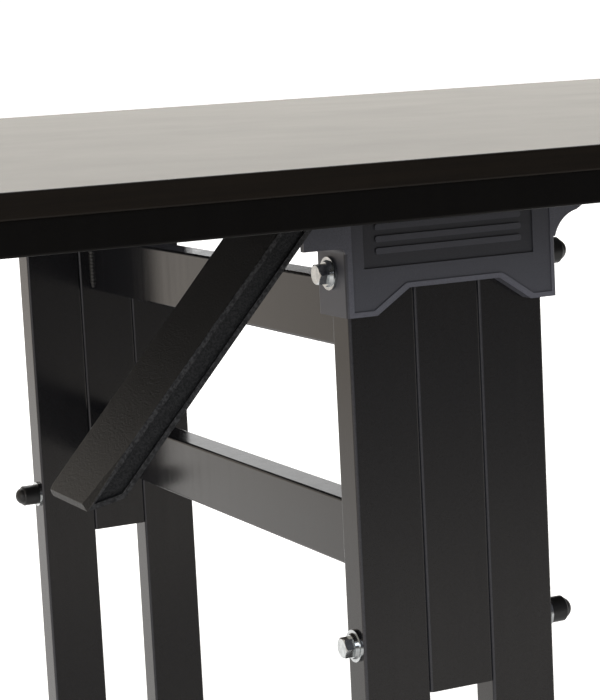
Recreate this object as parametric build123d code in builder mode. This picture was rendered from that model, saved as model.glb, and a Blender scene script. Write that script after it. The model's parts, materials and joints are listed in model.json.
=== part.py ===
from build123d import *
import os
from math import cos, radians, sin, sqrt, tan

# A long folding table: one top, and at each end a leg frame that folds in under it and a hand lever
# whose shaft latches both legs of that frame.
# X runs along the top, Y across it and Z up from the floor, in millimetres.
# The left end is modelled, and the right end is the same pieces turned half round the Z axis.

# Top
table_length = 2440
table_width = 1070
table_height = 740
top_thickness = 15
laminate_thickness = 0.8
edge_band = 2
top_corner = 8
upper_arris = 1.5
lower_arris = 1.2
rail_height = 20
rail_inset = 4
rail_wall = 2
rail_lip = 12
rail_bend = 1.6
stiffener_length = 1200
stiffener_width = 40
stiffener_height = 18
stiffener_y = 170

# Leg frames
end_overhang = 316
leg_spread = 664
tube_width = 50
tube_depth = 25
tube_wall = 2
tube_corner = 2.2
tube_inner_corner = 0.8
stub_drop = 346
upper_bar_drop = 96
lower_bar_drop = 261
foot_pad = 6
foot_plug = 16
foot_clearance = 0.2

# Leg bracket
side_wall = 6
front_wall = 11
back_wall = 7
bracket_drop = 79.5
fit_gap = 0.2
pivot_reach = 188
pivot_radius = 6
barrel_radius = 13

# Bolts
bolt_radius = 5
upper_bolt_drop = 51
lower_bolt_drop = 307
bolt_clearance = 0.3

# Lever and latch
shaft_offset = -62
shaft_rise = 4
shaft_radius = 8
lever_length = 233.5
lever_thickness = 17.4
lever_angle = 48.3
lever_near = -82
lever_width = 70.6
lever_swing = 41
striker_drop = 22
striker_radius = 4
running_gap = 0.05

# Levels and places worked out from them
board_underside = table_height - top_thickness
rail_bottom = board_underside - rail_height
leg_x = end_overhang - table_length / 2
leg_y = -leg_spread / 2
tube_y = leg_y + tube_depth / 2
pivot_x = leg_x + pivot_reach
shaft_x = leg_x + shaft_offset
shaft_z = rail_bottom + shaft_rise
striker_z = shaft_z - striker_drop
socket_top = rail_bottom + 10
bracket_top = rail_bottom + 16
upper_bolt_z = rail_bottom - upper_bolt_drop
lower_bolt_z = rail_bottom - lower_bolt_drop
bracket_left = leg_x - side_wall
bracket_right = leg_x + 3 * tube_width + side_wall
bracket_front = leg_y - front_wall
bracket_back = leg_y + tube_depth + back_wall

os.makedirs("parts", exist_ok=True)


def facing(y):
    """A plane at this Y that faces -Y: its own x is X and its own y is Z."""
    return Plane.XZ.offset(-y)


def across(x):
    """A plane at this X that faces +X: its own x is Y and its own y is Z."""
    return Plane.YZ.offset(x)


def save(part, name):
    part.label = name
    export_step(part, f"parts/{name}.step")


def save_both_ends(part, name):
    save(part, "left_" + name)
    save(part.rotate(Axis.Z, 180), "right_" + name)


def group(*pieces):
    """Separate solids kept together as one node."""
    return Compound(children=[solid for piece in pieces for solid in piece.solids()])


def save_ends_together(part, name):
    """Identical small pieces of both ends, all on the top, share one node."""
    save(group(part, part.rotate(Axis.Z, 180)), name)


def both_sides(part):
    """The near piece and its mirror image at the far side."""
    return group(part, part.mirror(Plane.XZ))


# ---------------------------------------------------------------- top
screw_radius = 2.4
screw_depth = 9
screw_head = 2.4
hinge_screws = [(pivot_x + dx, leg_y + dy) for dx in (-20, 34) for dy in (-29, 52)]
bearing_faces = (leg_y - 101, leg_y + 48, -leg_y - 63)
bearing_thickness = 14
bearing_half = 34
bearing_base = 4
bearing_screws = [
    (shaft_x + dx, y + bearing_thickness / 2) for dx in (5 - bearing_half, bearing_half - 5) for y in bearing_faces
]
hinge_screws_far = [(x, -y) for x, y in hinge_screws]
left_screws = hinge_screws + hinge_screws_far + bearing_screws
screw_places = left_screws + [(-x, -y) for x, y in left_screws]

with BuildPart() as board:
    with BuildSketch(Plane.XY.offset(board_underside)):
        RectangleRounded(table_length - 2 * edge_band, table_width - 2 * edge_band, top_corner - edge_band)
    extrude(amount=top_thickness - laminate_thickness)
    with BuildSketch(Plane.XY.offset(board_underside)):
        with Locations(*screw_places):
            Circle(screw_radius + 0.1)
    extrude(amount=screw_depth + 0.5, mode=Mode.SUBTRACT)
save(board.part, "top_board")

with BuildPart() as laminate:
    with BuildSketch(Plane.XY.offset(table_height - laminate_thickness)):
        RectangleRounded(table_length - 2 * edge_band, table_width - 2 * edge_band, top_corner - edge_band)
    extrude(amount=laminate_thickness)
save(laminate.part, "top_laminate")

with BuildPart() as edging:
    with BuildSketch(Plane.XY.offset(board_underside)):
        RectangleRounded(table_length, table_width, top_corner)
        RectangleRounded(
            table_length - 2 * edge_band, table_width - 2 * edge_band, top_corner - edge_band, mode=Mode.SUBTRACT
        )
    extrude(amount=top_thickness)
    outline = edging.faces().sort_by(Axis.Z)[-1].outer_wire().edges()
    fillet(outline, upper_arris)
    underline = edging.faces().sort_by(Axis.Z)[0].outer_wire().edges()
    fillet(underline, lower_arris)
save(edging.part, "edge_band")


def rail(length, distance, lip_length):
    """An angle rail along X whose upright face stands this far out in -Y."""
    with BuildPart() as angle:
        with BuildSketch(across(-length / 2)):
            with BuildLine():
                Polyline(
                    (-distance, board_underside),
                    (-distance, rail_bottom),
                    (-distance + rail_lip, rail_bottom),
                    (-distance + rail_lip, rail_bottom + rail_wall),
                    (-distance + rail_wall, rail_bottom + rail_wall),
                    (-distance + rail_wall, board_underside),
                    close=True,
                )
            make_face()
        extrude(amount=length)
        corner = angle.edges().filter_by(Axis.X).group_by(Axis.Z)[0].sort_by(Axis.Y)[0]
        fillet(corner, rail_bend)
        trim = (length - lip_length) / 2
        if trim > 0:
            for side in (-1, 1):
                with BuildSketch(Plane.XY.offset(rail_bottom)):
                    with Locations((side * (length - trim) / 2, -distance + rail_lip / 2)):
                        Rectangle(trim, rail_lip)
                extrude(amount=rail_wall, mode=Mode.SUBTRACT)
    return angle.part


long_rail_length = table_length - 2 * rail_inset
end_rail_length = table_width - 2 * (rail_inset + rail_wall + 0.1)
near_rail = rail(long_rail_length, table_width / 2 - rail_inset, long_rail_length)
save(near_rail, "near_rail")
save(near_rail.rotate(Axis.Z, 180), "far_rail")
end_rail = rail(end_rail_length, table_length / 2 - rail_inset, end_rail_length - 2 * rail_lip)
save(end_rail.rotate(Axis.Z, -90), "left_end_rail")
save(end_rail.rotate(Axis.Z, 90), "right_end_rail")

with BuildPart() as stiffener:
    with BuildSketch(across(-stiffener_length / 2)):
        with Locations((-stiffener_y, board_underside - stiffener_height / 2)):
            Rectangle(stiffener_width, stiffener_height)
        with Locations((-stiffener_y, board_underside - stiffener_height / 2 + rail_wall)):
            Rectangle(stiffener_width - 2 * rail_wall, stiffener_height, mode=Mode.SUBTRACT)
    extrude(amount=stiffener_length)
save(stiffener.part, "near_stiffener")
save(stiffener.part.mirror(Plane.XZ), "far_stiffener")


# ---------------------------------------------------------------- hinges under the top
hinge_plate = (70, 100)
lug_thickness = 5
lug_base = 3
lug_radius = 12
ear_gap = 1
pin_head = 3
stop_pad_size = (60, 30)
stop_pad_gap = 0.3
near_lug_y = bracket_front - ear_gap
far_lug_y = bracket_back + ear_gap + lug_thickness

with BuildPart() as hinge:
    with BuildSketch(Plane.XY.offset(board_underside - lug_base)):
        with Locations((pivot_x + 7, leg_y + 11.5)):
            RectangleRounded(*hinge_plate, 6)
        with Locations(*hinge_screws):
            Circle(screw_radius + 0.2, mode=Mode.SUBTRACT)
    extrude(amount=lug_base)
    for lug_face in (near_lug_y, far_lug_y):
        with BuildSketch(facing(lug_face)):
            with Locations((pivot_x, rail_bottom)):
                Circle(lug_radius)
            with Locations((pivot_x, (rail_bottom + board_underside - lug_base) / 2)):
                Rectangle(2 * lug_radius, board_underside - lug_base - rail_bottom)
            with Locations((pivot_x, rail_bottom)):
                Circle(pivot_radius + running_gap, mode=Mode.SUBTRACT)
        extrude(amount=lug_thickness)
save_both_ends(both_sides(hinge.part), "hinge_brackets")

with BuildPart() as hinge_pin:
    with BuildSketch(facing(far_lug_y + 2)):
        with Locations((pivot_x, rail_bottom)):
            Circle(pivot_radius)
    extrude(amount=far_lug_y + 2 - (near_lug_y - lug_thickness))
    with BuildSketch(facing(near_lug_y - lug_thickness)):
        with Locations((pivot_x, rail_bottom)):
            Circle(pivot_radius + 3)
    extrude(amount=pin_head)
    chamfer(hinge_pin.edges().filter_by(GeomType.CIRCLE).sort_by(Axis.Y)[-1], 1)
save_ends_together(both_sides(hinge_pin.part), "hinge_pins")

with BuildPart() as stop_pad:
    with BuildSketch(Plane.XY.offset(bracket_top + stop_pad_gap)):
        with Locations((leg_x + 30, tube_y)):
            RectangleRounded(*stop_pad_size, 4)
    extrude(amount=board_underside - bracket_top - stop_pad_gap)
save_ends_together(both_sides(stop_pad.part), "stop_pads")


# ---------------------------------------------------------------- leg tubes and crossbars
def tube_section(width, depth):
    RectangleRounded(width, depth, tube_corner)
    RectangleRounded(width - 2 * tube_wall, depth - 2 * tube_wall, tube_inner_corner, mode=Mode.SUBTRACT)


def leg_tube(column, bottom):
    """One of the three tubes of the near leg, counted from the outboard side."""
    left = leg_x + column * tube_width
    with BuildPart() as tube:
        with BuildSketch(Plane.XY.offset(bottom)):
            with Locations((left + tube_width / 2, tube_y)):
                tube_section(tube_width, tube_depth)
        extrude(amount=socket_top - fit_gap - bottom)
        with BuildSketch(across(left)):
            with Locations((tube_y, upper_bolt_z), (tube_y, lower_bolt_z)):
                Circle(bolt_radius + bolt_clearance)
        extrude(amount=tube_width, mode=Mode.SUBTRACT)
    return tube.part


for tube_name, column, bottom in (
    ("outboard_tube", 0, foot_pad),
    ("stub_tube", 1, rail_bottom - stub_drop),
    ("inboard_tube", 2, foot_pad),
):
    near_tube = leg_tube(column, bottom)
    save_both_ends(near_tube, "near_" + tube_name)
    save_both_ends(near_tube.mirror(Plane.XZ), "far_" + tube_name)


def crossbar(z):
    """A bar between the two stub tubes, its middle at this height."""
    inner_face = leg_y + tube_depth
    with BuildPart() as bar:
        with BuildSketch(facing(-inner_face)):
            with Locations((leg_x + 1.5 * tube_width, z)):
                tube_section(tube_depth, tube_width)
        extrude(amount=-2 * inner_face)
    return bar.part


save_both_ends(crossbar(rail_bottom - upper_bar_drop), "upper_crossbar")
save_both_ends(crossbar(rail_bottom - lower_bar_drop), "lower_crossbar")

with BuildPart() as foot:
    for column in (0, 2):
        middle = leg_x + (column + 0.5) * tube_width
        with BuildSketch():
            with Locations((middle, tube_y)):
                RectangleRounded(tube_width, tube_depth, tube_corner)
        extrude(amount=foot_pad)
        with BuildSketch(Plane.XY.offset(foot_pad)):
            with Locations((middle, tube_y)):
                plug_gap = 2 * (tube_wall + foot_clearance)
                RectangleRounded(tube_width - plug_gap, tube_depth - plug_gap, 1)
        extrude(amount=foot_plug)
    chamfer(foot.faces().group_by(Axis.Z)[0].edges(), 1.5)
save_both_ends(both_sides(foot.part), "feet")


# ---------------------------------------------------------------- bolts
flange_radius = 9.2
flange_height = 2.5
washer_radius = 11.2
washer_thickness = 2
head_height = 9
hex_apothem = 6.5
hex_crown = 1.6
cap_length = 20
skirt_radius = 9.1
skirt_length = 14
dome_radius = 8
dome_rim = sqrt(dome_radius**2 - (skirt_length + dome_radius - cap_length) ** 2)
cap_hole = 12


def bolt_x(side, out):
    """X at this distance outside the clamped stack, on its outboard (-1) or inboard (1) side."""
    return side * out + (leg_x if side < 0 else leg_x + 3 * tube_width)


# y, z, the side that the head is on, and how far the clamped stack stands out past the tubes
bolts = (
    (tube_y, upper_bolt_z, -1, side_wall),
    (tube_y, lower_bolt_z, -1, 0),
    (-tube_y, upper_bolt_z, 1, side_wall),
    (-tube_y, lower_bolt_z, 1, 0),
)


def outward(side, x, y, z):
    """A plane at this point that faces outward along X."""
    return Plane(origin=(x, y, z), x_dir=(0, 1, 0), z_dir=(side, 0, 0))


def lengthwise(side, x, y, z):
    """A plane through a bolt's axis: its own x runs outward from this point and its own y is up or down."""
    return Plane(origin=(x, y, z), x_dir=(side, 0, 0), z_dir=(0, -1, 0))


with BuildPart() as bolt_set:
    for y, z, side, proud in bolts:
        seat = bolt_x(side, proud + washer_thickness)
        tip = bolt_x(-side, proud + washer_thickness + cap_hole - 1)
        with BuildSketch(outward(-side, seat, y, z)):
            Circle(bolt_radius)
        extrude(amount=abs(tip - seat))
        with BuildSketch(outward(side, seat, y, z)):
            Circle(flange_radius)
        extrude(amount=flange_height, taper=20)
        with BuildSketch(outward(side, seat, y, z)):
            RegularPolygon(hex_apothem, 6, major_radius=False)
        extrude(amount=head_height)
        with BuildSketch(lengthwise(side, seat, y, z)):
            with BuildLine():
                Polyline(
                    (head_height, hex_apothem - 0.2),
                    (head_height, hex_apothem + 2.5),
                    (head_height - hex_crown, hex_apothem + 2.5),
                    close=True,
                )
            make_face()
        revolve(axis=Axis((seat, y, z), (1, 0, 0)), mode=Mode.SUBTRACT)
save_both_ends(bolt_set.part, "through_bolts")

with BuildPart() as washer_set:
    for y, z, side, proud in bolts:
        for end in (side, -side):
            with BuildSketch(outward(end, bolt_x(end, proud), y, z)):
                Circle(washer_radius)
                Circle(bolt_radius + bolt_clearance, mode=Mode.SUBTRACT)
            extrude(amount=washer_thickness)
save_both_ends(washer_set.part, "washers")


def cap_nut(side, seat, y, z):
    """A domed cap that screws on the bolt's end."""
    with BuildPart() as cap:
        with BuildSketch(lengthwise(side, seat, y, z)):
            with BuildLine():
                Polyline(
                    (cap_length, 0),
                    (0, 0),
                    (0, skirt_radius),
                    (skirt_length - 1, skirt_radius),
                    (skirt_length, skirt_radius - 0.8),
                    (skirt_length, dome_rim),
                )
                RadiusArc((skirt_length, dome_rim), (cap_length, 0), dome_radius)
            make_face()
        revolve(axis=Axis((seat, y, z), (1, 0, 0)))
        with BuildSketch(outward(side, seat, y, z)):
            Circle(bolt_radius + 0.1)
        extrude(amount=cap_hole, mode=Mode.SUBTRACT)
    return cap.part


caps = [cap_nut(-side, bolt_x(-side, proud + washer_thickness), y, z) for y, z, side, proud in bolts]
save_both_ends(group(*caps), "cap_nuts")


# ---------------------------------------------------------------- leg bracket
ledge_drop = 33
ledge_reach = 36
ledge_fillet = 4
arm_radius = 9
cheek = 5
slot_end = leg_x - 22
bracket_corner = 3
rim = 3.4
rim_lead = 2.2
front_recess = 0.8
panel_recess = 1.2
rib_length = 112
rib_height = 4
rib_pitch = 8
rib_count = 6
lowest_rib = -37
arch_drop = 63
arch_low = (16, 135)
arch_high = (41, 110.5)
field = (-1, 152)
panel = (8, 138.5, -48)


def from_leg(u, z):
    """A point of the near bracket's side view, from the leg's outboard face and the rail's bottom."""
    return (leg_x + u, rail_bottom + z)


with BuildPart() as bracket:
    with BuildSketch(Plane.XY.offset(rail_bottom - bracket_drop)):
        with Locations(((bracket_left + bracket_right) / 2, (bracket_front + bracket_back) / 2)):
            RectangleRounded(bracket_right - bracket_left, bracket_back - bracket_front, bracket_corner)
    extrude(amount=bracket_top - rail_bottom + bracket_drop)

    # Ledge and striker arm towards the latch
    with BuildSketch(facing(bracket_back)):
        with BuildLine():
            Polyline(
                from_leg(10, 16),
                from_leg(-side_wall, 16),
                from_leg(-side_wall, 8),
                from_leg(-21, striker_z - rail_bottom + arm_radius),
                from_leg(shaft_offset, striker_z - rail_bottom + arm_radius),
                from_leg(shaft_offset, striker_z - rail_bottom - arm_radius),
                from_leg(-ledge_reach, -27),
                from_leg(-ledge_reach, -ledge_drop),
                from_leg(-side_wall - ledge_fillet, -ledge_drop),
            )
            RadiusArc(
                from_leg(-side_wall - ledge_fillet, -ledge_drop),
                from_leg(-side_wall, -ledge_drop - ledge_fillet),
                ledge_fillet,
            )
            Polyline(
                from_leg(-side_wall, -ledge_drop - ledge_fillet),
                from_leg(10, -ledge_drop - ledge_fillet),
                from_leg(10, 16),
            )
        make_face()
        with Locations((shaft_x, striker_z)):
            Circle(arm_radius)
    extrude(amount=bracket_back - bracket_front)

    # Ear with the hinge barrel
    with BuildSketch(facing(bracket_back)):
        with BuildLine():
            Line(from_leg(140, 16), from_leg(156, 16))
            Line(from_leg(156, 16), from_leg(pivot_reach, barrel_radius))
            Line(from_leg(pivot_reach, barrel_radius), from_leg(pivot_reach, -barrel_radius))
            Line(from_leg(pivot_reach, -barrel_radius), from_leg(174, -21.5))
            ThreePointArc(from_leg(174, -21.5), from_leg(162.3, -27.6), from_leg(156, -38.5))
            Polyline(from_leg(156, -38.5), from_leg(140, -38.5), from_leg(140, 16))
        make_face()
        with Locations((pivot_x, rail_bottom)):
            Circle(barrel_radius)
    extrude(amount=bracket_back - bracket_front)

    # Socket for the three tubes
    with BuildSketch(Plane.XY.offset(rail_bottom - bracket_drop)):
        with Locations((leg_x + 1.5 * tube_width, tube_y)):
            Rectangle(3 * tube_width + 2 * fit_gap, tube_depth + 2 * fit_gap)
    extrude(amount=socket_top - rail_bottom + bracket_drop, mode=Mode.SUBTRACT)

    # Arched lower edge at the front, and a shorter wall at the back
    with BuildSketch(facing(leg_y)):
        with BuildLine():
            Polyline(
                from_leg(arch_low[0], -bracket_drop - 1),
                from_leg(arch_low[0], -bracket_drop),
                from_leg(arch_high[0], -arch_drop),
                from_leg(arch_high[1], -arch_drop),
                from_leg(arch_low[1], -bracket_drop),
                from_leg(arch_low[1], -bracket_drop - 1),
                close=True,
            )
        make_face()
    extrude(amount=front_wall, mode=Mode.SUBTRACT)
    with BuildSketch(facing(bracket_back)):
        with BuildLine():
            Polyline(
                from_leg(0, -bracket_drop),
                from_leg(0, -arch_drop),
                from_leg(3 * tube_width, -arch_drop),
                from_leg(3 * tube_width, -bracket_drop),
                close=True,
            )
        make_face()
    extrude(amount=back_wall, mode=Mode.SUBTRACT)

    # Slot that the latch hook swings in, striker hole, bolt hole and hinge bore
    with BuildSketch(facing(bracket_back - cheek)):
        with BuildLine():
            Polyline(
                (shaft_x - 20, rail_bottom - 60),
                (slot_end, rail_bottom - 60),
                (slot_end, board_underside),
                (shaft_x - 20, board_underside),
                close=True,
            )
        make_face()
    extrude(amount=bracket_back - bracket_front - 2 * cheek, mode=Mode.SUBTRACT)
    with BuildSketch(facing(bracket_back)):
        with Locations((shaft_x, striker_z)):
            Circle(striker_radius)
        with Locations((pivot_x, rail_bottom)):
            Circle(pivot_radius + running_gap)
    extrude(amount=bracket_back - bracket_front, mode=Mode.SUBTRACT)
    with BuildSketch(across(bracket_left)):
        with Locations((tube_y, upper_bolt_z)):
            Circle(bolt_radius + bolt_clearance)
    extrude(amount=bracket_right - bracket_left, mode=Mode.SUBTRACT)

    # Front face: a raised rim round a shallow field, and a plain panel with level ribs
    with BuildSketch(facing(bracket_front + front_recess)):
        with BuildLine():
            Polyline(
                from_leg(field[0], 12),
                from_leg(field[0], rim - bracket_drop),
                from_leg(arch_low[0] - rim_lead, rim - bracket_drop),
                from_leg(arch_high[0] - rim_lead, rim - arch_drop),
                from_leg(arch_high[1] + rim_lead, rim - arch_drop),
                from_leg(arch_low[1] + rim_lead, rim - bracket_drop),
                from_leg(field[1], rim - bracket_drop),
                from_leg(field[1], 12),
                close=True,
            )
        make_face()
    extrude(amount=front_recess, mode=Mode.SUBTRACT)
    with BuildSketch(facing(bracket_front + front_recess + panel_recess)):
        with BuildLine():
            Polyline(
                from_leg(panel[0], 6),
                from_leg(panel[0], panel[2]),
                from_leg(panel[1], panel[2]),
                from_leg(panel[1], 6),
                close=True,
            )
        make_face()
        for rib in range(rib_count):
            with Locations(from_leg((panel[0] + panel[1]) / 2, lowest_rib + rib * rib_pitch)):
                RectangleRounded(rib_length, rib_height, 1.5, mode=Mode.SUBTRACT)
    extrude(amount=panel_recess, mode=Mode.SUBTRACT)
save_both_ends(bracket.part, "near_bracket")
save_both_ends(bracket.part.mirror(Plane.XZ), "far_bracket")

with BuildPart() as striker:
    with BuildSketch(facing(bracket_back)):
        with Locations((shaft_x, striker_z)):
            Circle(striker_radius)
    extrude(amount=bracket_back - bracket_front)
save_both_ends(both_sides(striker.part), "striker_pins")


# ---------------------------------------------------------------- hand lever and latch
hub_radius = 13
heel_reach = 24
lever_rim = 3.2
side_recess = 2
tip_cut = 20
tip_bevel = 2.5
tip_radius = 8
facet_length = 44
facet_width = 8.4
facet_drop = 2.8
lever_draw = 4.8
lever_edge = 0.8
hook_thickness = 10
hook_y = leg_y + 6.5
boss_radius = 13
hook_inner = striker_drop + striker_radius + 0.8
hook_outer = hook_inner + 9
hook_start = 27
hook_sweep = 54
arm_sweep = 15
collar_height = 4
collar_thickness = 2
bumper_size = (14, 50)
shaft_start = leg_y - 104
shaft_end = -leg_y + 8
lever_y = leg_y + lever_near


def along_lever(distance, lift):
    """A point down the lever from its shaft, lifted square to it towards the upper face."""
    slope = radians(lever_angle)
    x = shaft_x - distance * cos(slope) - lift * sin(slope)
    z = shaft_z - distance * sin(slope) + lift * cos(slope)
    return (x, z)


half = lever_thickness / 2
with BuildPart() as lever:
    with BuildSketch(facing(lever_y + lever_width)):
        with BuildLine():
            Polyline(
                along_lever(0, half),
                along_lever(lever_length - tip_bevel, half),
                along_lever(lever_length, half - tip_bevel),
                along_lever(lever_length - tip_cut, -half),
                along_lever(0, -half),
                close=True,
            )
        make_face()
        with Locations((shaft_x, shaft_z)):
            Circle(hub_radius)
        with Locations((shaft_x + heel_reach / 2, shaft_z + hub_radius / 2)):
            Rectangle(heel_reach, hub_radius)
        with Locations((shaft_x, shaft_z)):
            Circle(shaft_radius, mode=Mode.SUBTRACT)
    extrude(amount=lever_width)
    # The far side draws in a little towards the free end and ends in a round corner
    blade = Plane(
        origin=(shaft_x, lever_y, shaft_z),
        x_dir=(-cos(radians(lever_angle)), 0, -sin(radians(lever_angle))),
        z_dir=(-sin(radians(lever_angle)), 0, cos(radians(lever_angle))),
    )
    far_edge = lever_draw - lever_width
    with BuildSketch(blade.offset(-20)):
        with BuildLine():
            Polyline(
                (lever_length - tip_radius, far_edge),
                (-20, -lever_width),
                (lever_length + 1, -lever_width),
                (lever_length + 1, far_edge + tip_radius),
                (lever_length, far_edge + tip_radius),
            )
            RadiusArc((lever_length, far_edge + tip_radius), (lever_length - tip_radius, far_edge), tip_radius)
        make_face()
    extrude(amount=40, mode=Mode.SUBTRACT)
    # A flat across the near corner of the free end
    facet_normal = (
        blade.x_dir * facet_width * facet_drop
        + blade.y_dir * facet_length * facet_drop
        + blade.z_dir * facet_length * facet_width
    )
    facet_start = blade.from_local_coords((lever_length - facet_length, 0, half))
    split(bisect_by=Plane(origin=facet_start, z_dir=facet_normal), keep=Keep.BOTTOM)
    upward_faces = lever.faces().filter_by(lambda face: face.normal_at().dot(blade.z_dir) > 0.999)
    upper_face = upward_faces.sort_by(SortBy.AREA)[-1]
    fillet(upper_face.edges().filter_by(lambda edge: blade.to_local_coords(edge.center()).X > 30), lever_edge)
    with BuildSketch(facing(lever_y + side_recess)):
        with BuildLine():
            Polyline(
                along_lever(hub_radius + 4, half - lever_rim),
                along_lever(lever_length - 6, half - lever_rim),
                along_lever(lever_length - tip_cut - 1, lever_rim - half),
                along_lever(hub_radius + 4, lever_rim - half),
                close=True,
            )
        make_face()
    extrude(amount=side_recess, mode=Mode.SUBTRACT)
save_both_ends(lever.part, "lever")

with BuildPart() as shaft:
    with BuildSketch(facing(shaft_end)):
        with Locations((shaft_x, shaft_z)):
            Circle(shaft_radius)
    extrude(amount=shaft_end - shaft_start)
    chamfer(shaft.edges().filter_by(GeomType.CIRCLE), 1)
save_both_ends(shaft.part, "latch_shaft")


def polar(radius, angle):
    """A point round the shaft, its angle counted from straight down towards +X."""
    return (shaft_x + radius * sin(radians(angle)), shaft_z - radius * cos(radians(angle)))


hook_end = hook_start + hook_sweep
with BuildPart() as hook:
    with BuildSketch(facing(hook_y + hook_thickness)):
        with BuildLine():
            nose = hook_start + hook_sweep / 2
            ThreePointArc(polar(hook_outer, hook_start), polar(hook_outer, nose), polar(hook_outer, hook_end))
            Line(polar(hook_outer, hook_end), polar(0, hook_end))
            Line(polar(0, hook_end), polar(hook_inner, hook_end - arm_sweep))
            ThreePointArc(
                polar(hook_inner, hook_end - arm_sweep),
                polar(hook_inner, nose - arm_sweep / 2),
                polar(hook_inner, hook_start),
            )
            Line(polar(hook_inner, hook_start), polar(hook_outer, hook_start))
        make_face()
        with Locations((shaft_x, shaft_z)):
            Circle(boss_radius)
            Circle(shaft_radius, mode=Mode.SUBTRACT)
    extrude(amount=hook_thickness)
save_both_ends(hook.part, "near_hook")
save_both_ends(hook.part.mirror(Plane.XZ), "far_hook")

with BuildPart() as collars:
    for y in (bearing_faces[0] - 0.6, bearing_faces[2] + bearing_thickness + 2.4):
        with BuildSketch(facing(y)):
            with Locations((shaft_x, shaft_z)):
                Circle(shaft_radius + collar_height)
                Circle(shaft_radius, mode=Mode.SUBTRACT)
        extrude(amount=collar_thickness)
save_both_ends(collars.part, "shaft_collars")


# ---------------------------------------------------------------- latch parts under the top
with BuildPart() as bearings:
    for y in bearing_faces:
        with BuildSketch(facing(y + bearing_thickness)):
            with Locations((shaft_x, board_underside - bearing_base / 2)):
                Rectangle(2 * bearing_half, bearing_base)
            with Locations((shaft_x, board_underside - 14)):
                RectangleRounded(32, 28, 5)
            with Locations((shaft_x, shaft_z)):
                Circle(shaft_radius + running_gap, mode=Mode.SUBTRACT)
        extrude(amount=bearing_thickness)
    with BuildSketch(Plane.XY.offset(board_underside - bearing_base)):
        with Locations(*bearing_screws):
            Circle(screw_radius + 0.2)
    extrude(amount=bearing_base, mode=Mode.SUBTRACT)
save_both_ends(bearings.part, "shaft_bearings")

raised = radians(lever_angle - lever_swing)
catch_reach = 150
catch_half = 15
catch_bottom = shaft_z - catch_reach * sin(raised) + half / cos(raised) + 0.9
with BuildPart() as lever_catch:
    with BuildSketch(facing(lever_y + lever_width / 2 + catch_half)):
        with BuildLine():
            Polyline(
                (shaft_x - catch_reach - catch_half, board_underside),
                (shaft_x - catch_reach - catch_half, catch_bottom - catch_half * tan(raised)),
                (shaft_x - catch_reach + catch_half, catch_bottom + catch_half * tan(raised)),
                (shaft_x - catch_reach + catch_half, board_underside),
                close=True,
            )
        make_face()
    extrude(amount=2 * catch_half)
save_ends_together(lever_catch.part, "lever_catches")

with BuildPart() as bumper:
    with BuildSketch(Plane.XY.offset(shaft_z + hub_radius + 0.3)):
        with Locations((shaft_x + heel_reach / 2 + 4, lever_y + lever_width / 2)):
            RectangleRounded(*bumper_size, 2)
    extrude(amount=board_underside - shaft_z - hub_radius - 0.3)
save_ends_together(bumper.part, "lever_bumpers")


def screw(x, y, seat):
    """A pan-head screw driven up into the board."""
    with BuildPart() as fixing:
        with BuildSketch(Plane.XY.offset(seat)):
            with Locations((x, y)):
                Circle(screw_radius)
        extrude(amount=board_underside + screw_depth - seat)
        with BuildSketch(Plane.XY.offset(seat)):
            with Locations((x, y)):
                Circle(2 * screw_radius)
        extrude(amount=-screw_head, taper=30)
    return fixing.part


screws = [screw(x, y, board_underside - lug_base) for x, y in hinge_screws + hinge_screws_far]
screws += [screw(x, y, board_underside - bearing_base) for x, y in bearing_screws]
save_ends_together(group(*screws), "screws")
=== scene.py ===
import json
from math import cos, pi, radians, sin

import bmesh
import bpy
from mathutils import Matrix, Vector


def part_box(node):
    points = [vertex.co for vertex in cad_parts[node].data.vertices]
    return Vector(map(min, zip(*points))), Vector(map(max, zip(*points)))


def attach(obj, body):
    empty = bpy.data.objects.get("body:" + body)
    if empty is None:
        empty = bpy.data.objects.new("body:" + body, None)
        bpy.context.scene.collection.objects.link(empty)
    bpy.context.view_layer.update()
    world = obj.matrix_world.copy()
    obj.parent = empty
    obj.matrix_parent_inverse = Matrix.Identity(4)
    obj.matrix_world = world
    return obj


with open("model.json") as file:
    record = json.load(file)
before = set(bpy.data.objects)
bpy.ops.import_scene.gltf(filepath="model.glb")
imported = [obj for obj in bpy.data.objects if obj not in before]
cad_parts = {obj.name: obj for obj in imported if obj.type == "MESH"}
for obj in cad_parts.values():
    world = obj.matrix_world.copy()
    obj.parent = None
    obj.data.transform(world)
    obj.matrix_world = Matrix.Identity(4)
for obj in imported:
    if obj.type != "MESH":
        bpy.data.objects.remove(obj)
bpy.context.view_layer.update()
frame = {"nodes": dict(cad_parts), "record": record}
RIGHT, UP = Vector((1, 0, 0)), Vector((0, 0, 1))
ENDS = ("left", "right")


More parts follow.
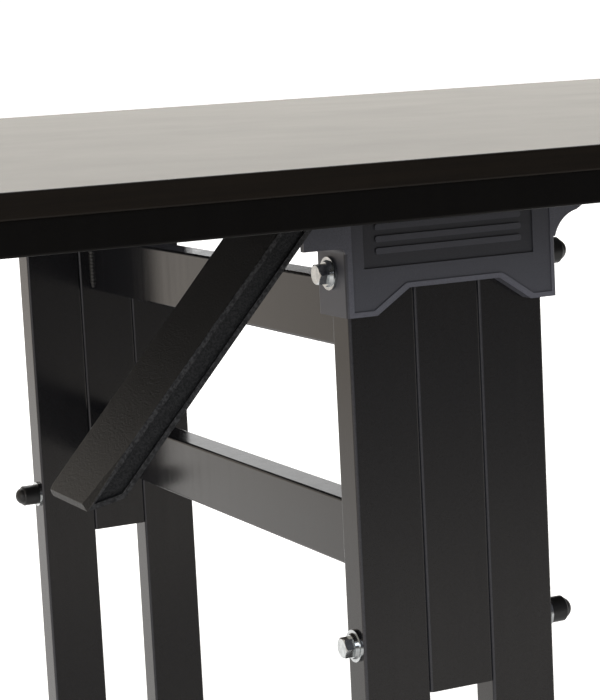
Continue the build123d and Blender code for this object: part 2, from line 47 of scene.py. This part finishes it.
# ---------------------------------------------------------------- shader helpers
class Shader:
    """One Principled material and the nodes that feed it."""

    def __init__(self, name, **values):
        self.material = bpy.data.materials.new(name)
        self.material.use_nodes = True
        self.tree = self.material.node_tree
        self.surface = self.tree.nodes["Principled BSDF"]
        for socket, value in values.items():
            self.surface.inputs[socket.replace("_", " ")].default_value = value
        self.place = self.tree.nodes.new("ShaderNodeTexCoord").outputs["Object"]
        self.bumps = None

    def node(self, kind, links, **settings):
        made = self.tree.nodes.new(kind)
        for key, value in settings.items():
            setattr(made, key, value)
        for socket, source in links.items():
            target = made.inputs[socket]
            if isinstance(source, bpy.types.NodeSocket):
                self.tree.links.new(source, target)
            else:
                target.default_value = source
        return made

    def stretched(self, scale):
        """Object coordinates stretched along X, Y and Z."""
        return self.node("ShaderNodeMapping", {"Vector": self.place, "Scale": scale}).outputs["Vector"]

    def noise(self, scale, detail=3.0, rough=0.5, where=None):
        links = {"Vector": where or self.place, "Scale": scale, "Detail": detail, "Roughness": rough}
        return self.node("ShaderNodeTexNoise", links).outputs["Fac"]

    def cells(self, scale):
        links = {"Vector": self.place, "Scale": scale}
        return self.node("ShaderNodeTexVoronoi", links, feature="F1").outputs["Distance"]

    def ramp(self, source, stops):
        """A colour ramp given as (position, colour) pairs."""
        made = self.node("ShaderNodeValToRGB", {"Fac": source})
        band = made.color_ramp.elements
        band[0].position, band[0].color = stops[0][0], (*stops[0][1], 1)
        band[1].position, band[1].color = stops[-1][0], (*stops[-1][1], 1)
        for position, colour in stops[1:-1]:
            band.new(position).color = (*colour, 1)
        return made.outputs["Color"]

    def span(self, source, low, high):
        """The source's 0 to 1 as low to high."""
        made = self.node("ShaderNodeMapRange", {"Value": source, "To Min": low, "To Max": high})
        return made.outputs["Result"]

    def math(self, operation, *values):
        return self.node("ShaderNodeMath", dict(enumerate(values)), operation=operation).outputs[0]

    def split(self, vector, axis):
        return self.node("ShaderNodeSeparateXYZ", {"Vector": vector}).outputs[axis]

    def rise(self, source, low, high, interpolation="LINEAR"):
        """From 0 where the source is at the low value to 1 at the high."""
        links = {"Value": source, "From Min": low, "From Max": high}
        return self.node("ShaderNodeMapRange", links, interpolation_type=interpolation).outputs["Result"]

    def multiplied(self, first, second):
        links = {"Fac": 1.0, "Color1": first, "Color2": second}
        return self.node("ShaderNodeMixRGB", links, blend_type="MULTIPLY").outputs[0]

    def feed(self, socket, source):
        self.tree.links.new(source, self.surface.inputs[socket])

    def bump(self, height, strength, distance):
        links = {"Height": height, "Strength": strength, "Distance": distance}
        if self.bumps is not None:
            links["Normal"] = self.bumps
        self.bumps = self.node("ShaderNodeBump", links).outputs["Normal"]
        self.feed("Normal", self.bumps)


def shade(colour, amount):
    return tuple(c * amount for c in colour)


def grey(value):
    return (value, value, value)


# ---------------------------------------------------------------- materials
def laminate_finish():
    s = Shader("laminate_finish", Specular_IOR_Level=0.1, Specular_Tint=(1.0, 0.96, 0.90, 1))
    cloud = s.noise(9.0, 4.0, 0.6)
    fine = s.noise(900.0, 2.0, 0.7)
    mixed = s.math("ADD", s.span(cloud, 0.0, 0.55), s.span(fine, 0.0, 0.45))
    warm = (0.335, 0.32, 0.29)
    s.feed("Base Color", s.ramp(mixed, [(0.30, shade(warm, 0.86)), (0.72, shade(warm, 1.12))]))
    s.feed("Roughness", s.span(fine, 0.46, 0.62))
    s.bump(fine, 0.35, 0.0002)
    return s.material


def edge_finish():
    s = Shader("edge_finish", Specular_IOR_Level=0.15)
    grain = s.noise(60.0, 5.0, 0.6, s.stretched((0.15, 0.15, 6.0)))
    brown = (0.0078, 0.0054, 0.0033)
    s.feed("Base Color", s.ramp(grain, [(0.25, shade(brown, 0.7)), (0.75, shade(brown, 1.35))]))
    s.feed("Roughness", s.span(s.noise(300.0), 0.34, 0.5))
    s.bump(grain, 0.12, 0.0002)
    return s.material


def paint_finish(name, colour, rough, orange_peel, specular=0.5, corner=1.0):
    """Powder coat: a fine orange peel and gloss drawn out along Z.

    Corners that face out along one diagonal are paler by the corner factor, a painted highlight for the
    thin light lines that the lights here don't give them.
    """
    s = Shader(name, Specular_IOR_Level=specular, Specular_Tint=(1.0, 0.955, 0.89, 1))
    speck = s.ramp(s.noise(1400.0, 2.0, 0.6), [(0.3, shade(colour, 0.75)), (0.7, shade(colour, 1.3))])
    # painted highlight: corners facing out along one diagonal get a paler base colour
    normal = s.tree.nodes.new("ShaderNodeTexCoord").outputs["Normal"]
    diagonal = s.math("MULTIPLY", s.split(normal, "X"), s.split(normal, "Y"))
    s.feed("Base Color", s.multiplied(speck, s.ramp(diagonal, [(0.12, grey(1.0)), (0.35, grey(corner))])))
    drawn = s.noise(120.0, 3.0, 0.6, s.stretched((1.0, 1.0, 0.06)))
    s.feed("Roughness", s.span(drawn, rough - 0.08, rough + 0.08))
    s.bump(drawn, 0.06, 0.0002)
    s.bump(s.noise(420.0, 2.0), orange_peel, 0.0003)
    return s.material


def moulded_finish(name, colour, rough, grain_scale, depth):
    """Moulded plastic with a spark-eroded grain."""
    s = Shader(name, Specular_IOR_Level=0.42)
    fine = s.noise(grain_scale * 1.7, 3.0, 0.6)
    s.feed("Base Color", s.ramp(fine, [(0.35, shade(colour, 0.75)), (0.65, shade(colour, 1.35))]))
    s.feed("Roughness", s.span(fine, rough - 0.08, rough + 0.10))
    s.bump(fine, 0.5, depth * 0.6)
    s.bump(s.cells(grain_scale), 0.5, depth)
    return s.material


def by_depth(s, face, depth, steps):
    """Colours by |Y|, from this depth inside the outermost face (0) out to that face (1)."""
    out = s.math("ABSOLUTE", s.split(s.place, "Y"))
    return s.ramp(s.rise(out, face - depth, face), steps)


def bracket_finish():
    """Grey moulding, its rim paler than the field as a painted highlight, and its panel's floor darker
    than the field as painted shade.

    It darkens towards its top, to stand for the shade under the table's edge.
    """
    s = Shader("bracket_finish", Specular_IOR_Level=0.42)
    low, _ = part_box("left_near_bracket")
    shade_height = 0.08
    fine = s.noise(2200.0, 3.0, 0.6)
    field = (0.067, 0.069, 0.083)
    # painted shade on the panel's floor, painted highlight on the rim
    panel_floor_shade, rim_highlight = shade(field, 0.5), shade(field, 1.7)
    steps = [(0.0, field), (0.2, panel_floor_shade), (0.45, panel_floor_shade), (0.6, field), (0.84, field)]
    steps += [(0.92, rim_highlight), (1.0, rim_highlight)]
    speckle = s.ramp(fine, [(0.35, grey(0.8)), (0.65, grey(1.25))])
    # painted shade: darker towards the top under the table's edge, lighter low down
    upward = s.rise(s.split(s.place, "Z"), low.z, low.z + shade_height)
    shaded = s.ramp(upward, [(0.0, grey(1.15)), (0.35, grey(1.05)), (1.0, grey(0.40))])
    tone = s.multiplied(by_depth(s, abs(low.y), 0.003, steps), shaded)
    s.feed("Base Color", s.multiplied(tone, speckle))
    s.feed("Roughness", s.span(fine, 0.40, 0.55))
    s.bump(fine, 0.5, 0.00008)
    return s.material


def lever_finish():
    """Black moulding with a coarse spark-eroded grain, and a paler rim on its outer side as a painted
    highlight.
    """
    s = Shader("lever_finish", Specular_IOR_Level=0.28, Specular_Tint=(0.93, 0.96, 1.0, 1))
    low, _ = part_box("left_lever")
    fine = s.noise(680.0, 3.0, 0.55)
    black = (0.0085, 0.0085, 0.0088)
    # painted highlight: the outer rim is paler than the black
    rim_highlight = shade(black, 2.6)
    steps = [(0.0, black), (0.55, black), (0.7, rim_highlight), (1.0, rim_highlight)]
    speckle = s.ramp(fine, [(0.40, grey(0.35)), (0.62, grey(1.9))])
    s.feed("Base Color", s.multiplied(by_depth(s, abs(low.y), 0.002, steps), speckle))
    s.feed("Roughness", s.span(fine, 0.30, 0.55))
    s.bump(fine, 0.9, 0.00045)
    return s.material


def zinc_finish():
    s = Shader("zinc_finish", Metallic=1.0)
    cloud = s.noise(220.0, 4.0, 0.6)
    s.feed("Base Color", s.ramp(cloud, [(0.3, (0.36, 0.38, 0.39)), (0.7, (0.60, 0.62, 0.62))]))
    s.feed("Roughness", s.span(cloud, 0.08, 0.20))
    s.bump(s.noise(1500.0, 2.0), 0.15, 0.0002)
    return s.material


def board_finish():
    """Dark backing sheet on the underside of the top."""
    s = Shader("board_finish", Roughness=0.6, Specular_IOR_Level=0.3)
    grain = s.noise(14.0, 6.0, 0.65, s.stretched((0.12, 2.2, 1.0)))
    brown = (0.022, 0.017, 0.013)
    s.feed("Base Color", s.ramp(grain, [(0.25, shade(brown, 0.75)), (0.75, shade(brown, 1.3))]))
    s.bump(grain, 0.2, 0.0004)
    return s.material


def rubber_finish():
    s = Shader("rubber_finish", Roughness=0.7, Specular_IOR_Level=0.35)
    speck = s.noise(700.0, 3.0)
    s.feed("Base Color", s.ramp(speck, [(0.3, grey(0.010)), (0.7, grey(0.022))]))
    s.bump(speck, 0.3, 0.0003)
    return s.material


def weld_finish():
    s = Shader("weld_finish", Specular_IOR_Level=0.5)
    speck = s.noise(500.0, 3.0)
    s.feed("Base Color", s.ramp(speck, [(0.3, (0.020, 0.020, 0.019)), (0.7, (0.036, 0.035, 0.033))]))
    s.feed("Roughness", s.span(speck, 0.3, 0.45))
    s.bump(speck, 0.3, 0.0004)
    return s.material


FINISHES = {
    "board": board_finish(),
    "laminate": laminate_finish(),
    "edge": edge_finish(),
    "rail": paint_finish("rail_finish", (0.0018, 0.0016, 0.0016), 0.42, 0.2, 0.11),
    # the 4.0 corner factor paints a highlight on the tube corners
    "tube": paint_finish("tube_finish", (0.0098, 0.0102, 0.0122), 0.17, 0.06, 0.36, 4.0),
    "bracket": bracket_finish(),
    "lever": lever_finish(),
    "cap": moulded_finish("cap_finish", (0.010, 0.010, 0.010), 0.38, 1500.0, 0.00008),
    "foot": moulded_finish("foot_finish", (0.013, 0.013, 0.013), 0.5, 1100.0, 0.00010),
    "bearing": moulded_finish("bearing_finish", (0.018, 0.018, 0.018), 0.45, 1200.0, 0.00010),
    "rubber": rubber_finish(),
    "zinc_steel": zinc_finish(),
    "hook": paint_finish("hook_finish", (0.035, 0.035, 0.036), 0.4, 0.2),
}
slot_of = {row["node"]: row["material_slot"] for row in frame["record"]["subparts"]}
for node, obj in frame["nodes"].items():
    obj.data.materials.clear()
    obj.data.materials.append(FINISHES[slot_of[node]])


# ---------------------------------------------------------------- weld beads
WELD = weld_finish()
WELD_RADIUS = 0.0026
WELD_RIPPLES = 14
WELD_END_GAP = 0.003
WELD_INSET = 0.2  # of the radius


def weld_bead(name, start, end, body):
    """A rippled fillet weld along a straight seam, riding on this body."""
    sides, steps_per_ripple = 12, 6
    along = end - start
    forward = along.normalized()
    across = forward.cross(RIGHT if abs(forward.x) < 0.5 else UP).normalized()
    up = forward.cross(across)
    mesh = bmesh.new()
    rings = []
    total = WELD_RIPPLES * steps_per_ripple
    for step in range(total + 1):
        t = step / total
        ripple = (step % steps_per_ripple) / steps_per_ripple
        taper = min(1.0, 0.55 + 4 * min(t, 1 - t))
        size = WELD_RADIUS * taper * (0.84 + 0.22 * sin(pi * ripple))
        centre = start + along * t
        ring = []
        for side in range(sides):
            turn = 2 * pi * side / sides
            ring.append(mesh.verts.new(centre + across * size * cos(turn) + up * size * sin(turn)))
        rings.append(ring)
    for low, high in zip(rings, rings[1:]):
        for side in range(sides):
            after = (side + 1) % sides
            mesh.faces.new((low[side], low[after], high[after], high[side]))
    mesh.faces.new(rings[0][::-1])
    mesh.faces.new(rings[-1])
    bmesh.ops.recalc_face_normals(mesh, faces=mesh.faces)
    data = bpy.data.meshes.new(name)
    mesh.to_mesh(data)
    mesh.free()
    for face in data.polygons:
        face.use_smooth = True
    piece = bpy.data.objects.new(name, data)
    bpy.context.collection.objects.link(piece)
    data.materials.append(WELD)
    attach(piece, body)


for end in ENDS:
    for bar in ("upper", "lower"):
        low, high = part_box(f"{end}_{bar}_crossbar")
        for seat, y in (("near", low.y), ("far", high.y)):
            inward = WELD_RADIUS * WELD_INSET * (1 if seat == "near" else -1)
            for side, x in (("out", low.x), ("in", high.x)):
                weld_bead(
                    f"{end}_{bar}_{seat}_{side}_weld",
                    Vector((x, y + inward, low.z + WELD_END_GAP)),
                    Vector((x, y + inward, high.z - WELD_END_GAP)),
                    f"{end}_leg_frame",
                )


# ---------------------------------------------------------------- studio
def softbox(name, place, target, width, height, power, colour=(1, 1, 1)):
    light = bpy.data.lights.new(name, "AREA")
    light.shape = "RECTANGLE"
    light.size, light.size_y = width, height
    light.energy = power
    light.color = colour
    lamp = bpy.data.objects.new(name, light)
    lamp.location = place
    lamp.rotation_euler = (Vector(target) - Vector(place)).to_track_quat("-Z", "Y").to_euler()
    bpy.context.collection.objects.link(lamp)


def floor_finish():
    """Glowing paper: white behind the table, warmer to its left, grey towards the camera as painted
    shade.

    The glow, a painted light, is strongest far behind the table.
    """
    s = Shader("floor_finish", Roughness=0.8, Specular_IOR_Level=0.2)
    x, y = s.split(s.place, "X"), s.split(s.place, "Y")
    back = s.rise(y, -3.4, -0.9, "SMOOTHSTEP")
    right = s.rise(x, -2.7, -1.5, "SMOOTHSTEP")
    far = s.rise(y, 2.5, 7.0, "SMOOTHSTEP")
    mottled = s.math("ADD", back, s.span(s.noise(3.0), -0.02, 0.02))
    # painted shade: the paper turns grey towards the camera
    shaded_paper = s.ramp(mottled, [(0.0, grey(0.42)), (0.98, grey(0.92))])
    tint = s.ramp(right, [(0.0, (0.98, 0.905, 0.82)), (1.0, grey(1.0))])
    s.feed("Base Color", s.multiplied(shaded_paper, tint))
    s.feed("Emission Color", shaded_paper)
    # painted light: the paper glows, most of all far behind the table
    glow = s.math("MULTIPLY", back, s.span(right, 0.02, 0.32))
    s.feed("Emission Strength", s.math("ADD", glow, s.span(far, 0.0, 0.4)))
    return s.material


def floor():
    half = 40.0
    data = bpy.data.meshes.new("floor")
    corners = [(-half, -half, 0), (half, -half, 0), (half, half, 0), (-half, half, 0)]
    data.from_pydata(corners, [], [(0, 1, 2, 3)])
    ground = bpy.data.objects.new("floor", data)
    bpy.context.collection.objects.link(ground)
    data.materials.append(floor_finish())


floor()
softbox("overhead", (0.6, 3.2, 3.6), (0.4, 2.6, 0), 6.0, 5.0, 190)
softbox("front_fill", (-1.8, -4.5, 2.5), (-0.8, 0, 0.4), 3.0, 1.8, 46, (0.90, 0.94, 1.0))
softbox("front_left", (-4.4, -2.3, 0.75), (-0.8, -0.35, 0.5), 2.2, 1.2, 22, (0.94, 0.96, 1.0))


WARM_SIDE = (0.79, 0.72, 0.635)
WHITE_BACK = (1.12, 1.12, 1.12)
DIM_FRONT = (0.09, 0.09, 0.10)


def studio_world():
    """White behind the table, warmer and less bright to its left, and dim on the camera's side."""
    world = bpy.data.worlds.new("studio")
    world.use_nodes = True
    tree = world.node_tree
    direction = tree.nodes.new("ShaderNodeTexCoord").outputs["Generated"]

    def towards(heading, low, high):
        """How far a direction leans towards this one, from 0 at the low dot product to 1 at the high."""
        dot = tree.nodes.new("ShaderNodeVectorMath")
        dot.operation = "DOT_PRODUCT"
        tree.links.new(direction, dot.inputs[0])
        dot.inputs[1].default_value = heading
        span = tree.nodes.new("ShaderNodeMapRange")
        span.interpolation_type = "SMOOTHSTEP"
        tree.links.new(dot.outputs["Value"], span.inputs["Value"])
        span.inputs["From Min"].default_value, span.inputs["From Max"].default_value = low, high
        return span.outputs["Result"]

    def blend(factor, near, far):
        mix = tree.nodes.new("ShaderNodeMixRGB")
        tree.links.new(factor, mix.inputs["Fac"])
        for socket, value in (("Color1", near), ("Color2", far)):
            if isinstance(value, tuple):
                mix.inputs[socket].default_value = (*value, 1)
            else:
                tree.links.new(value, mix.inputs[socket])
        return mix.outputs[0]

    backdrop = blend(towards((1, 0, 0), -0.1, 0.2), WARM_SIDE, WHITE_BACK)
    colour = blend(towards((-0.62, 0.76, 0.1), -0.42, 0.25), DIM_FRONT, backdrop)
    tree.links.new(colour, tree.nodes["Background"].inputs["Color"])
    return world


bpy.context.scene.world = studio_world()
bpy.context.scene.view_settings.view_transform = "Standard"


# ---------------------------------------------------------------- camera
CAMERA_FROM_CORNER = Vector((-0.680, -1.330, 0.079))
HEADING, PITCH, ROLL = radians(25.8), radians(-8.16), radians(-2.9)


def camera():
    """Stands outside the left end, a little above the top, and looks in along the near legs."""
    leg_low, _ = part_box("left_near_outboard_tube")
    _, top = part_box("top_laminate")
    near_corner = Vector((leg_low.x, leg_low.y, top.z))
    turn = Matrix.Rotation(-HEADING, 3, "Z")
    turn = turn @ Matrix.Rotation(pi / 2 + PITCH, 3, "X") @ Matrix.Rotation(ROLL, 3, "Z")
    data = bpy.data.cameras.new("camera")
    data.sensor_width = 36
    data.lens = 116.9
    data.clip_start = 0.05
    view = bpy.data.objects.new("camera", data)
    view.matrix_world = Matrix.Translation(near_corner + CAMERA_FROM_CORNER) @ turn.to_4x4()
    bpy.context.collection.objects.link(view)
    bpy.context.scene.camera = view


camera()
